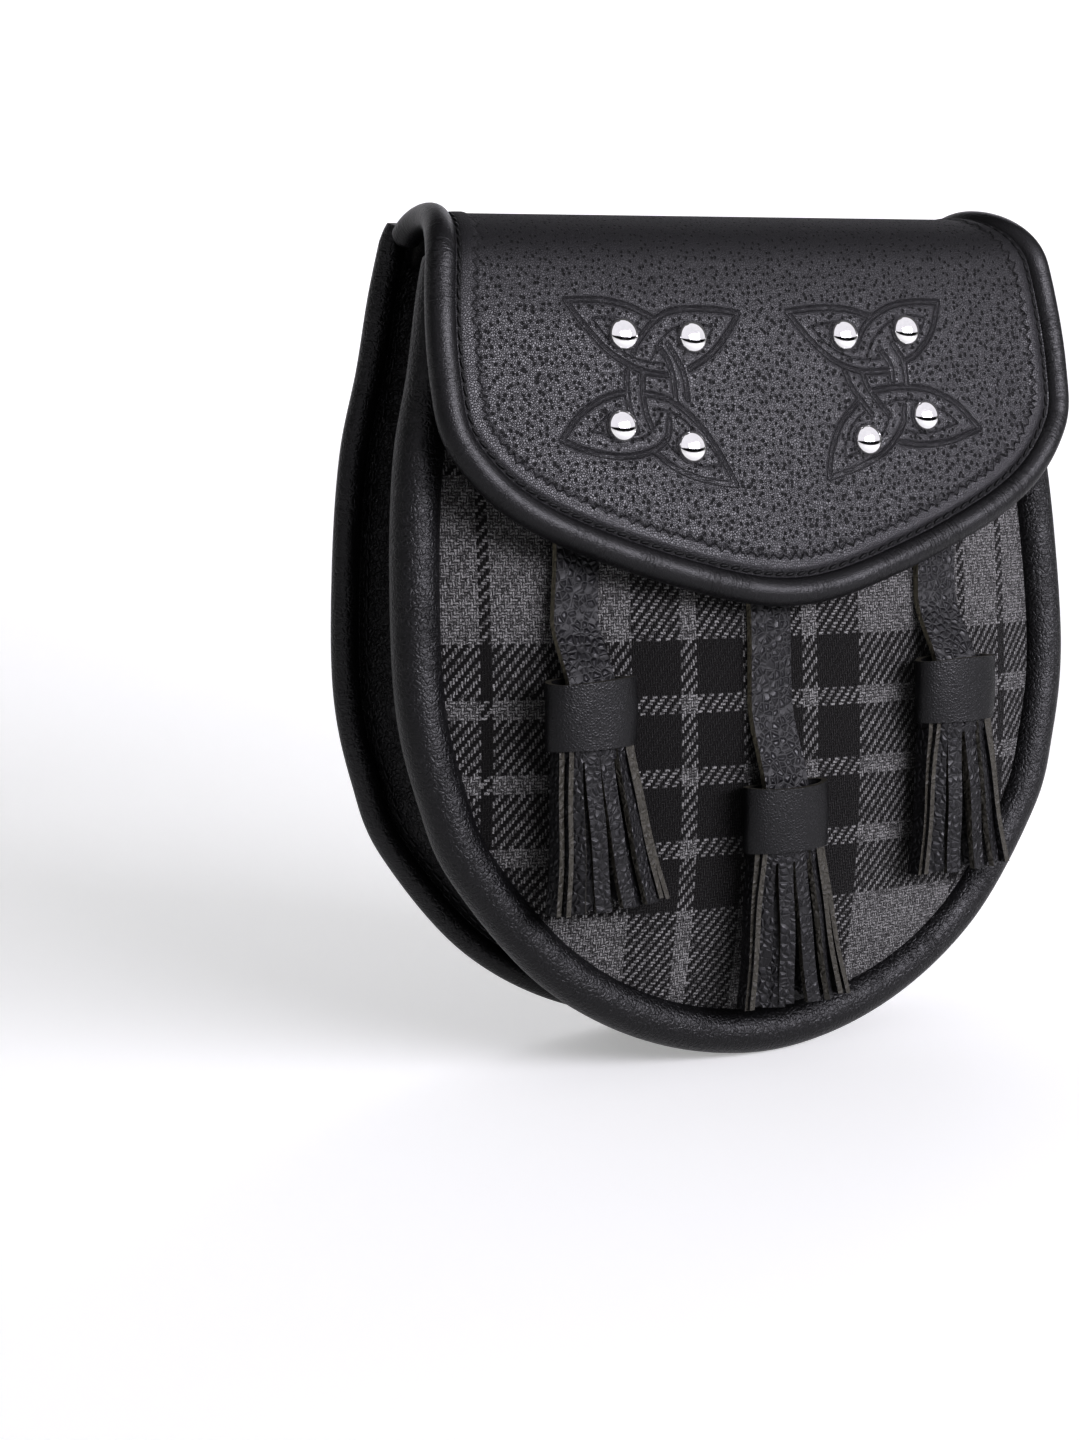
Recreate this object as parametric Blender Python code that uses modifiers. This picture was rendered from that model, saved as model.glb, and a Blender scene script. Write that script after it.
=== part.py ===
"""A sporran pouch: a round-bottomed leather pouch with a tartan front, a rolled-over flap with
eight dome studs, three hanging tassels, and two belt loops on its back.

Metres, +Z up, the front faces -Y. The origin is the point on the back panel that it hangs from.
"""
import math

import bmesh
import bpy
import numpy as np

MM = 0.001

# Overall sizes of the pouch, over its piping
POUCH_WIDTH = 206 * MM
POUCH_HEIGHT = 219 * MM  # from the ridge of the flap to the lowest point
RIDGE_Z = 45 * MM  # the ridge above the point that the pouch hangs from
TOP_DEPTH = 27.6 * MM  # back face to the middle of the front piping, at the ridge's height
BOTTOM_DEPTH = 47.4 * MM  # the same at the lowest point

# Walls, pipings and clearance
GAP = 0.3 * MM
BACK_WALL = 3 * MM
FRONT_WALL = 3 * MM
GUSSET_WALL = 2 * MM
FLAP_WALL = 2.5 * MM
BACK_PIPING = 7 * MM
FRONT_PIPING = 11 * MM
FLAP_PIPING = 8 * MM
PIPING_PROUD = 1 * MM  # the back piping behind the back panel's face
GUSSET_SAG = 4 * MM
SEAM_CLEAR = 0.9 * MM  # the gusset's two edges off the back and the front
FRONT_BULGE = 12 * MM
BACK_TOP = 9 * MM  # top edge of the back panel, below the ridge
FRONT_TOP = 16 * MM  # top edge of the front panel: the mouth
GUSSET_TOP = 15 * MM
FRONT_PIPING_TOP = 13 * MM

# The flap, whose front part is flat and leans forward towards its tip
FLAP_WIDTH = 193 * MM
FLAP_LENGTH = 111.4 * MM  # along the leather from the ridge to the tip
FLAP_STAND = 10.6 * MM  # the flap's front plane before the front piping's middle, at the ridge's height
FLAP_LEAN = math.radians(11.5)
RIDGE_SINK = 3.5 * MM  # middle of the leather at the ridge, below the ridge's height
RIDGE_DROP = 16 * MM  # the bend of the ridge ends this far below it, front and back
TAIL_DROP = 30 * MM  # lower end of the flap's tail, which is sewn inside the back panel
TAIL_INSET = 2.5 * MM  # the tail clears the gusset

# Hardware and tassels
STUD_WIDTH = 7.8 * MM
STUD_HEIGHT = 2.8 * MM
CLASP_WIDTH = 11 * MM
CLASP_NECK = 6 * MM
CLASP_RISE = 28 * MM  # its middle above the flap's tip, along the leather
STRAP_WIDTH = 12.5 * MM
STRAP_WALL = 2 * MM
STRAP_TUCK = 16 * MM  # a strap starts this far above the flap's edge, hidden by it
HEAD_WIDTH = 25 * MM
HEAD_DEPTH = 11 * MM
HEAD_HEIGHT = 16.5 * MM
HEAD_WALL = 1.8 * MM
FRINGE_LENGTH = 41 * MM  # below the head
FRINGE_WALL = 1.5 * MM
FRINGE_ROOT = 4 * MM  # the strips are one with their core this far below the head
FRINGE_SPREAD = 6 * MM  # each side, at the tip
FRINGE_STRIPS = 10
STRIP_GAP = 0.8 * MM
TASSEL_CLEAR = 0.8 * MM  # a head off the tartan behind it

# Belt loops
LOOP_WIDTH = 16 * MM
LOOP_HEIGHT = 56 * MM
LOOP_WALL = 2.2 * MM
LOOP_STAND = 6 * MM
LOOP_FOOT = 9 * MM
LOOP_SPACING = 96 * MM

# Half width of the pouch's outline, going down: shares of its height and of half its width
POUCH_ROWS = (
    (0.020, 0.836), (0.100, 0.880), (0.183, 0.916), (0.280, 0.967), (0.410, 0.995),
    (0.553, 1.000), (0.660, 0.957), (0.753, 0.879), (0.885, 0.648), (0.969, 0.343),
)
# The same for the flap, as shares of its length from the ridge and of half its width
FLAP_ROWS = (
    (-0.480, 0.895), (-0.200, 0.900), (0.000, 0.905), (0.215, 0.977), (0.467, 1.000),
    (0.636, 0.961), (0.798, 0.764), (0.940, 0.353),
)
# Studs of the right half: shares of half the flap's width and of its length
STUD_ROWS = ((0.241, 0.388), (0.448, 0.379), (0.280, 0.633), (0.482, 0.581))
# Tassels: name, places across of strap, head and fringe tip as shares of half the pouch's
# width, and top of the head as a share of its height
TASSELS = (
    ("left", -0.557, -0.580, -0.535, 0.524),
    ("middle", -0.020, -0.042, -0.020, 0.665),
    ("right", 0.572, 0.500, 0.520, 0.536),
)

# Facets
OUTLINE_POINTS = 49
PIPING_RESOLUTION = 3

COLLECTION = "sporran_pouch"

LOOKS = {
    "panel_leather": ((0.020, 0.020, 0.023), 0.62, 0.0),
    "piping_leather": ((0.026, 0.026, 0.030), 0.42, 0.0),
    "flap_leather": ((0.024, 0.024, 0.027), 0.48, 0.0),
    "tassel_leather": ((0.024, 0.025, 0.027), 0.50, 0.0),
    "tartan_cloth": ((0.110, 0.115, 0.120), 0.90, 0.0),
    "bright_metal": ((0.800, 0.800, 0.810), 0.12, 1.0),
}


def clear_scene():
    for item in list(bpy.data.objects):
        bpy.data.objects.remove(item, do_unlink=True)


def material(slot):
    """A Principled material, one for each kind of leather, cloth or metal."""
    if slot in bpy.data.materials:
        return bpy.data.materials[slot]
    colour, roughness, metallic = LOOKS[slot]
    made = bpy.data.materials.new(slot)
    made.use_nodes = True
    shader = made.node_tree.nodes["Principled BSDF"]
    shader.inputs["Base Color"].default_value = (*colour, 1)
    shader.inputs["Roughness"].default_value = roughness
    shader.inputs["Metallic"].default_value = metallic
    return made


def add(name, data, slot):
    """Put a mesh or a curve in the part's collection as one named object."""
    data.materials.append(material(slot))
    made = bpy.data.objects.new(name, data)
    bpy.data.collections[COLLECTION].objects.link(made)
    return made


def solidify(item, wall, offset):
    step = item.modifiers.new("wall", "SOLIDIFY")
    step.thickness = wall
    step.offset = offset
    step.use_even_offset = True


def smooth_line(points, steps=24):
    """A Catmull-Rom curve through the points, as an array."""
    given = np.array(points, float)
    ends = np.vstack([2 * given[0] - given[1], given, 2 * given[-1] - given[-2]])
    share = np.linspace(0, 1, steps, endpoint=False)[:, None]
    runs = []
    for a, b, c, d in zip(ends, ends[1:], ends[2:], ends[3:]):
        runs.append(0.5 * (2 * b + (c - a) * share + (2 * a - 5 * b + 4 * c - d) * share**2
                           + (3 * b - a - 3 * c + d) * share**3))
    return np.vstack(runs + [given[-1:]])


def resample(line, count):
    """The same line as count points, evenly spaced along it."""
    line = np.array(line, float)
    run = np.concatenate([[0], np.cumsum(np.linalg.norm(np.diff(line, axis=0), axis=1))])
    places = np.linspace(0, run[-1], count)
    return np.column_stack([np.interp(places, run, line[:, k]) for k in range(line.shape[1])])


def inset_line(line, inset):
    """Move an outline that runs from the right top round to the left top inwards."""
    along = np.gradient(line, axis=0)
    along /= np.linalg.norm(along, axis=1)[:, None]
    return line - inset * np.column_stack([along[:, 1], -along[:, 0]])


def outline(rows, half_width, length, inset, top, count):
    """(across, down) points of a U outline, mirrored, inset and cut off at the top."""
    right = [(half_width * wide, length * down) for down, wide in rows]
    whole = smooth_line(right + [(0, length)] + [(-x, down) for x, down in reversed(right)])
    line = inset_line(whole, inset)
    inside = np.flatnonzero(line[:, 1] >= top)
    line = line[inside[0] - 1:inside[-1] + 2]
    for end, near in ((0, 1), (-1, -2)):
        share = (top - line[near, 1]) / (line[end, 1] - line[near, 1])
        line[end] = line[near] + share * (line[end] - line[near])
    return resample(line, count)


def pouch_line(inset, top, count=OUTLINE_POINTS):
    return outline(POUCH_ROWS, POUCH_WIDTH / 2, POUCH_HEIGHT, inset, top, count)


def flap_line(inset, start, count=OUTLINE_POINTS):
    return outline(FLAP_ROWS, FLAP_WIDTH / 2, FLAP_LENGTH, inset, start, count)


def front_y(down):
    """Depth of the front piping's middle at a distance below the ridge."""
    return -(TOP_DEPTH + (BOTTOM_DEPTH - TOP_DEPTH) * down / POUCH_HEIGHT)


def flap_profile():
    """Side view of the flap's leather from its tail over the ridge to its tip, as (y, down)."""
    back = -(BACK_WALL + GAP + FLAP_WALL / 2)
    lean = np.array([-math.sin(FLAP_LEAN), math.cos(FLAP_LEAN)])
    foot = np.array([-TOP_DEPTH - FLAP_STAND - RIDGE_DROP * math.tan(FLAP_LEAN), RIDGE_DROP])
    handle = (RIDGE_DROP - RIDGE_SINK) / 0.75
    cage = np.array([(back, RIDGE_DROP), (back, RIDGE_DROP - handle), foot - handle * lean, foot])
    t = np.linspace(0, 1, 33)[:, None]
    bend = ((1 - t)**3 * cage[0] + 3 * t * (1 - t)**2 * cage[1]
            + 3 * t**2 * (1 - t) * cage[2] + t**3 * cage[3])
    line = np.vstack([[(back, TAIL_DROP)], bend, [foot + FLAP_LENGTH * lean]])
    run = np.concatenate([[0], np.cumsum(np.linalg.norm(np.diff(line, axis=0), axis=1))])
    return line, run - run[np.argmin(line[:, 1])]


PROFILE, PROFILE_RUN = flap_profile()


def flap_point(x, along, proud=0.0):
    """A place on the flap: across, along the leather from the ridge, and proud of its middle."""
    y, down = (np.interp(along, PROFILE_RUN, PROFILE[:, k]) for k in (0, 1))
    near, far = (np.array([np.interp(along + step, PROFILE_RUN, PROFILE[:, k]) for k in (0, 1)])
                 for step in (-MM / 2, MM / 2))
    slope = (far - near) / np.linalg.norm(far - near)
    return x, y - proud * slope[1], RIDGE_Z - down + proud * -slope[0]


def upright(x, y, down):
    return x, y, RIDGE_Z - down


def front_surface(x, down):
    """Depth of the tartan's front face, which bulges inside the front piping."""
    edge = pouch_half_width(down) - FRONT_PIPING
    across = min(abs(x) / edge, 1)
    low = (down - FRONT_TOP) / (POUCH_HEIGHT - FRONT_PIPING - FRONT_TOP)
    rise = (1 - across**2.6) * (1 - abs(2 * min(max(low, 0), 1) - 1)**2.6)
    return front_y(down) - FRONT_WALL / 2 - FRONT_BULGE * rise


def pouch_half_width(down):
    line = smooth_line([(POUCH_HEIGHT * d, POUCH_WIDTH / 2 * w) for d, w in POUCH_ROWS]
                       + [(POUCH_HEIGHT, 0)])
    return max(np.interp(down, line[:, 0], line[:, 1]), FRONT_PIPING + MM)


def tube(name, points, width, slot):
    """A round roll of leather through the points."""
    curve = bpy.data.curves.new(name, "CURVE")
    curve.dimensions = "3D"
    curve.bevel_depth = width / 2
    curve.bevel_resolution = PIPING_RESOLUTION
    curve.use_fill_caps = True
    spline = curve.splines.new("POLY")
    spline.points.add(len(points) - 1)
    for knot, point in zip(spline.points, points):
        knot.co = (*point, 1)
    return add(name, curve, slot)


def patch(name, edge, columns, rows, place, slot, corner=0.27):
    """A grid fitted inside a U outline: its top edge is straight, its bottom follows the U.

    corner is the share of the outline that each side edge takes. place turns
    (across, down) into a point.
    """
    size = len(edge) - 1
    right = resample(edge[:round(size * corner) + 1], rows + 1)
    bottom = resample(edge[round(size * corner):round(size * (1 - corner)) + 1][::-1], columns + 1)
    left = resample(edge[round(size * (1 - corner)):][::-1], rows + 1)
    top = resample([left[0], right[0]], columns + 1)
    mesh = bmesh.new()
    bmesh.ops.create_grid(mesh, x_segments=columns, y_segments=rows, size=0.5)
    for vert in mesh.verts:
        u = vert.co.x + 0.5
        v = 0.5 - vert.co.y
        i, j = round(u * columns), round(v * rows)
        blend = ((1 - v) * top[i] + v * bottom[i] + (1 - u) * left[j] + u * right[j]
                 - (1 - u) * (1 - v) * top[0] - u * (1 - v) * top[-1]
                 - (1 - u) * v * bottom[0] - u * v * bottom[-1])
        vert.co = place(*blend)
    return finish(name, mesh, slot)


def finish(name, mesh, slot):
    """Turn a bmesh into a smooth-shaded object."""
    bmesh.ops.recalc_face_normals(mesh, faces=mesh.faces)
    data = bpy.data.meshes.new(name)
    mesh.to_mesh(data)
    mesh.free()
    data.shade_smooth()
    data.set_sharp_from_angle(angle=math.radians(40))
    return add(name, data, slot)


def build_back_panel():
    """Flat leather back, inside its piping."""
    line = pouch_line(BACK_PIPING + GAP, BACK_TOP)
    curve = bpy.data.curves.new("back_panel", "CURVE")
    curve.dimensions = "2D"
    curve.fill_mode = "BOTH"
    curve.extrude = BACK_WALL / 2
    spline = curve.splines.new("POLY")
    spline.points.add(len(line) - 1)
    for knot, (x, down) in zip(spline.points, line):
        knot.co = (x, RIDGE_Z - down, 0, 1)
    spline.use_cyclic_u = True
    panel = add("back_panel", curve, "panel_leather")
    panel.rotation_euler.x = math.pi / 2
    panel.location.y = -BACK_WALL / 2


def build_pipings():
    """Leather rolls round the back, the front and the flap."""
    y = PIPING_PROUD - BACK_PIPING / 2
    back = [upright(x, y, down) for x, down in pouch_line(BACK_PIPING / 2, BACK_TOP)]
    tube("back_piping", back, BACK_PIPING, "piping_leather")
    front = [upright(x, front_y(down), down)
             for x, down in pouch_line(FRONT_PIPING / 2, FRONT_PIPING_TOP)]
    tube("front_piping", front, FRONT_PIPING, "piping_leather")
    ends = np.interp(BACK_TOP - GAP, PROFILE[:17, 1][::-1], PROFILE_RUN[:17][::-1])
    over = [flap_point(x, along) for x, along in flap_line(FLAP_PIPING / 2, ends, OUTLINE_POINTS + 12)]
    tube("flap_piping", over, FLAP_PIPING, "piping_leather")


def build_gusset():
    """Side band between the two pipings, drawn inwards between them."""
    back = pouch_line(BACK_PIPING + GAP, GUSSET_TOP)
    front = pouch_line(FRONT_PIPING + GAP, GUSSET_TOP)
    columns, rows = len(back) - 1, 5
    mesh = bmesh.new()
    bmesh.ops.create_grid(mesh, x_segments=columns, y_segments=rows, size=0.5)
    sag = inset_line(back, GUSSET_SAG) - back
    for vert in mesh.verts:
        i = round((vert.co.x + 0.5) * columns)
        v = vert.co.y + 0.5
        x, down = back[i] * (1 - v) + front[i] * v + sag[i] * math.sin(math.pi * v)**3
        near = -BACK_WALL - SEAM_CLEAR
        far = front_y(front[i][1]) + FRONT_WALL / 2 + SEAM_CLEAR
        vert.co = upright(x, near + (far - near) * v, down)
    band = finish("gusset", mesh, "panel_leather")
    outside = band.data.polygons[0]
    outward = outside.normal.x * outside.center.x + outside.normal.z * outside.center.z
    solidify(band, GUSSET_WALL, -1 if outward > 0 else 1)


def build_front_panel():
    """Tartan on a board, bulging inside the front piping."""
    def place(x, down):
        return upright(x, front_surface(x, down) + FRONT_WALL / 2, down)

    panel = patch("front_panel", pouch_line(FRONT_PIPING + GAP, FRONT_TOP), 14, 12, place, "tartan_cloth")
    solidify(panel, FRONT_WALL, 0)


def build_flap():
    """One leather from its tail inside the back, over the ridge, down to its tip."""
    start = PROFILE_RUN[0]

    def place(x, along):
        tail = min(max(along / start, 0), 1)
        return flap_point(x * (1 - tail * TAIL_INSET / (FLAP_WIDTH / 2 - FLAP_PIPING)), along)

    flap = patch("flap", flap_line(FLAP_PIPING + GAP, start), 14, 26, place, "flap_leather", 0.34)
    solidify(flap, FLAP_WALL, 0)


def build_studs():
    """Eight dome studs on the flap, four to each knot."""
    face = FLAP_WALL / 2 + GAP
    for side, hand in ((-1, "left"), (1, "right")):
        for number, (across, along) in enumerate(STUD_ROWS, 1):
            seat = flap_point(side * across * FLAP_WIDTH / 2, along * FLAP_LENGTH, face)
            stud = turned(f"stud_{hand}_{number}", dome_profile(STUD_WIDTH, STUD_HEIGHT), "bright_metal")
            stud.location = seat
            stud.rotation_euler.x = math.pi / 2 - FLAP_LEAN


def dome_profile(width, height, steps=5):
    """Half section of a flat-backed dome with a short upright rim, top to bottom."""
    rim = height * 0.25
    turns = np.linspace(math.pi / 2, 0, steps)
    line = [(width / 2 * math.cos(t), rim + (height - rim) * math.sin(t)) for t in turns]
    return line + [(width / 2, 0), (0, 0)]


def turned(name, profile, slot, steps=16):
    """A Screw solid about +Z from (radius, height) points."""
    data = bpy.data.meshes.new(name)
    points = [(max(radius, 0), 0, height) for radius, height in profile]
    points[0] = (0, 0, points[0][2])
    data.from_pydata(points, [(k, k + 1) for k in range(len(points) - 1)], [])
    item = add(name, data, slot)
    screw = item.modifiers.new("turn", "SCREW")
    screw.steps = steps
    screw.render_steps = steps
    screw.use_merge_vertices = True
    screw.merge_threshold = 0.00001
    screw.use_smooth_shade = True
    return item


def build_clasp():
    """Press stud under the flap's tip, one plain piece between the flap and the tartan."""
    seat = flap_point(0, FLAP_LENGTH - CLASP_RISE, -FLAP_WALL / 2 - GAP)
    middle = RIDGE_Z - seat[2]
    face = min(front_surface(x, middle + down) for x, down in
               ((0, 0), (0, CLASP_WIDTH / 2), (0, -CLASP_WIDTH / 2), (CLASP_WIDTH / 2, 0)))
    reach = face - GAP - seat[1]
    near = CLASP_NECK / 2 * math.tan(FLAP_LEAN)
    profile = [(0, reach), (CLASP_WIDTH / 2, reach), (CLASP_WIDTH / 2, 0.6 * reach),
               (CLASP_NECK / 2, 0.5 * reach), (CLASP_NECK / 2, near), (0, near)]
    clasp = turned("clasp", profile, "bright_metal")
    clasp.location = seat
    clasp.rotation_euler.x = -math.pi / 2


def flap_edge(x):
    """How far below the ridge the flap's lower edge is, at a place across."""
    line = flap_line(0, FLAP_LENGTH / 2)[::-1]
    return RIDGE_Z - flap_point(x, np.interp(x, line[:, 0], line[:, 1]))[2]


def build_tassel(hand, strap_x, x, tip_x, head_top):
    """A strap that lies on the tartan, a wrapped head and a fringe of strips."""
    face = min(front_surface(x + side * HEAD_WIDTH / 2, head_top + drop) for side in (-1, 0, 1)
               for drop in (0, HEAD_HEIGHT, HEAD_HEIGHT + FRINGE_LENGTH))
    y = face - TASSEL_CLEAR - HEAD_DEPTH / 2

    strap_top = flap_edge(strap_x) - STRAP_TUCK
    rows = 10
    mesh = bmesh.new()
    bmesh.ops.create_grid(mesh, x_segments=2, y_segments=rows, size=0.5)
    for vert in mesh.verts:
        v = 0.5 - vert.co.y
        down = strap_top + (head_top - GAP - strap_top) * v
        middle = strap_x + (x - strap_x) * v
        lie = min(front_surface(middle + side * STRAP_WIDTH / 2, down) for side in (-1, 0, 1))
        lie -= GAP + STRAP_WALL / 2
        swing = max(0, 1 - (1 - v) * 3)
        hang = lie + (y - lie) * swing**2 * (3 - 2 * swing)
        vert.co = upright(middle + vert.co.x * STRAP_WIDTH, hang, down)
    strap = finish(f"tassel_strap_{hand}", mesh, "tassel_leather")
    solidify(strap, STRAP_WALL, 0)

    mesh = bmesh.new()
    ring = bmesh.ops.create_circle(mesh, segments=24, radius=1)["verts"]
    for vert in ring:
        vert.co = (x + vert.co.x * HEAD_WIDTH / 2, y + vert.co.y * HEAD_DEPTH / 2, RIDGE_Z - head_top)
    drop = bmesh.ops.extrude_edge_only(mesh, edges=mesh.edges[:])["geom"]
    for item in drop:
        if isinstance(item, bmesh.types.BMVert):
            item.co.z -= HEAD_HEIGHT
    head = finish(f"tassel_head_{hand}", mesh, "tassel_leather")
    first = head.data.polygons[0]
    outward = first.normal.x * (first.center.x - x) + first.normal.y * (first.center.y - y)
    solidify(head, HEAD_WALL, -1 if outward > 0 else 1)
    build_fringe(hand, x, tip_x, y, head_top)


def build_fringe(hand, x, tip_x, y, head_top):
    """Strips round an oval core that fills the head, joined into one body."""
    wide = HEAD_WIDTH / 2 - HEAD_WALL - GAP
    deep = HEAD_DEPTH / 2 - HEAD_WALL - GAP
    low = head_top + HEAD_HEIGHT + FRINGE_ROOT
    mesh = bmesh.new()
    core = bmesh.ops.create_cone(mesh, cap_ends=True, segments=24, radius1=1, radius2=1, depth=1)["verts"]
    for vert in core:
        down = low if vert.co.z < 0 else head_top + 1 * MM
        vert.co = (x + vert.co.x * wide, y + vert.co.y * deep, RIDGE_Z - down)
    fringe = finish(f"tassel_fringe_{hand}", mesh, "tassel_leather")

    mesh = bmesh.new()
    turns = np.linspace(0, 2 * math.pi, 721)
    loop = np.column_stack([(wide - FRINGE_WALL / 2) * np.sin(turns), -(deep - FRINGE_WALL / 2) * np.cos(turns)])
    stations = resample(loop, FRINGE_STRIPS + 1)[:-1]
    run = np.linalg.norm(np.diff(loop, axis=0), axis=1).sum()
    width = run / FRINGE_STRIPS - STRIP_GAP
    for px, py in stations:
        facing = np.array([px / wide**2, py / deep**2])
        facing /= np.linalg.norm(facing)
        side = np.array([-facing[1], facing[0]])
        cube = bmesh.ops.create_cube(mesh, size=1)["verts"]
        for vert in cube:
            tip = vert.co.z < 0
            down = head_top + HEAD_HEIGHT + (FRINGE_LENGTH if tip else GAP)
            out = FRINGE_SPREAD * px / wide + tip_x - x if tip else 0
            px_, py_ = np.array([px + out, py]) + side * vert.co.x * width + facing * vert.co.y * FRINGE_WALL
            vert.co = (x + px_, y + py_, RIDGE_Z - down)
    strips = finish(f"tassel_strips_{hand}", mesh, "tassel_leather")
    bpy.data.collections[COLLECTION].objects.unlink(strips)
    bpy.data.collections["cutters"].objects.link(strips)
    strips.hide_render = True
    strips.display_type = "WIRE"
    join = fringe.modifiers.new("strips", "BOOLEAN")
    join.operation = "UNION"
    join.object = strips
    join.solver = "EXACT"
    join.use_self = True


def build_loops():
    """Two leather strips on the back that the belt goes through."""
    for side, hand in ((-1, "left"), (1, "right")):
        out = LOOP_STAND + LOOP_WALL
        half = LOOP_HEIGHT / 2
        outer = [(0, half), (LOOP_WALL, half), (LOOP_WALL, half - LOOP_FOOT + LOOP_WALL),
                 (out, half - LOOP_FOOT - LOOP_WALL)]
        inner = [(0, half - LOOP_FOOT), (LOOP_STAND, half - LOOP_FOOT - 2 * LOOP_WALL)]
        section = outer + [(y, -z) for y, z in reversed(outer)]
        section += [(y, -z) for y, z in inner] + list(reversed(inner))
        mesh = bmesh.new()
        verts = [mesh.verts.new((-LOOP_WIDTH / 2, y, z)) for y, z in section]
        face = mesh.faces.new(verts)
        push = bmesh.ops.extrude_face_region(mesh, geom=[face])["geom"]
        for item in push:
            if isinstance(item, bmesh.types.BMVert):
                item.co.x += LOOP_WIDTH
        loop = finish(f"belt_loop_{hand}", mesh, "panel_leather")
        loop.location = (side * LOOP_SPACING / 2, GAP, 0)


def build():
    clear_scene()
    for name in (COLLECTION, "cutters"):
        bpy.context.scene.collection.children.link(bpy.data.collections.new(name))
    build_back_panel()
    build_pipings()
    build_gusset()
    build_front_panel()
    build_flap()
    build_studs()
    build_clasp()
    for hand, *across, head_top in TASSELS:
        places = (share * POUCH_WIDTH / 2 for share in across)
        build_tassel(hand, *places, head_top * POUCH_HEIGHT)
    build_loops()


build()
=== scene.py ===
"""The looks of a sporran pouch: black leather, a tartan front, an embossed flap and tassels."""
import math

import bmesh
import bpy
import numpy as np
from mathutils import Euler, Matrix, Vector


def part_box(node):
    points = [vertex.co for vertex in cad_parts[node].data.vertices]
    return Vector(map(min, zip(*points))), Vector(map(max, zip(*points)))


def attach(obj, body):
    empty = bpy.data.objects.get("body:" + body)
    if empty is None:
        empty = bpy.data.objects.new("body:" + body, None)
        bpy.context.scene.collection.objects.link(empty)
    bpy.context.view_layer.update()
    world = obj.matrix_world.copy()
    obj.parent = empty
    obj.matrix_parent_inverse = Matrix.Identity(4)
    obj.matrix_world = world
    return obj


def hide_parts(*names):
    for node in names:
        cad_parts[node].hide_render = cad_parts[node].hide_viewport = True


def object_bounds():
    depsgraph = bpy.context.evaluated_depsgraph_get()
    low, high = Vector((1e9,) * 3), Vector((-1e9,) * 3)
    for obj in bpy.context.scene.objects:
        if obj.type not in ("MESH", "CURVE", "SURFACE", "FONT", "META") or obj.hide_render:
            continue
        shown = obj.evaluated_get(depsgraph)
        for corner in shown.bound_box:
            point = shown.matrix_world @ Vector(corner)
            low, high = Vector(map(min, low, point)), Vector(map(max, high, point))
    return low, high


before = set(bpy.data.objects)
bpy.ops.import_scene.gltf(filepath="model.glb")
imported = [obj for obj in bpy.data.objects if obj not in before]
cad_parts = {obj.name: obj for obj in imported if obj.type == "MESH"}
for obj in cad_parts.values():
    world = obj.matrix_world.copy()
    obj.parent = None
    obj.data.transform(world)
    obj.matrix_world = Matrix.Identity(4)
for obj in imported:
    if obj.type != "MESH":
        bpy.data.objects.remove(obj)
cad_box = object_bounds()

# The photograph's view: a camera slightly below the ridge's height, turned to the pouch's left
# side, and the colours as they come, with some contrast added.
MM = 0.001
camera = bpy.data.objects.new("camera", bpy.data.cameras.new("camera"))
camera.data.lens = 62.65
camera.location = (-0.3676, -0.5743, 0.0129)
camera.rotation_euler = [math.radians(turn) for turn in (81.27, 0.75, -29.68)]
bpy.context.collection.objects.link(camera)
bpy.context.scene.camera = camera
bpy.context.scene.view_settings.view_transform = "Standard"
bpy.context.scene.view_settings.look = "High Contrast"


class Value:
    """A number that varies over a surface: arithmetic on it adds Math nodes."""

    def __init__(self, look, socket):
        self.look = look
        self.socket = socket

    def math(self, operation, *others):
        inputs = dict(enumerate((self, *others)))
        made = self.look.node("ShaderNodeMath", {"operation": operation}, inputs)
        return Value(self.look, made.outputs[0])

    def __add__(self, other):
        return self.math("ADD", other)

    def __sub__(self, other):
        return self.math("SUBTRACT", other)

    def __rsub__(self, other):
        return (self * -1) + other

    def __mul__(self, other):
        return self.math("MULTIPLY", other)

    def __truediv__(self, other):
        return self.math("DIVIDE", other)

    def floor(self):
        return self.math("FLOOR")

    def wrap(self, length):
        """What is left of it after whole lengths, from 0 to length."""
        return self.math("FLOORED_MODULO", length)

    def wave(self):
        return self.math("SINE")

    def away(self, middle):
        """How far it is from a middle value."""
        return self.math("SUBTRACT", middle).math("ABSOLUTE")

    def below(self, other):
        return self.math("LESS_THAN", other)

    def least(self, other):
        return self.math("MINIMUM", other)

    def most(self, other):
        return self.math("MAXIMUM", other)

    def ramp(self, low, high, start=0.0, end=1.0):
        """A smooth step from start, where it is low, to end, where it is high."""
        limits = {"Value": self, "From Min": low, "From Max": high, "To Min": start, "To Max": end}
        made = self.look.node("ShaderNodeMapRange", {"interpolation_type": "SMOOTHSTEP"}, limits)
        return Value(self.look, made.outputs["Result"])


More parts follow.
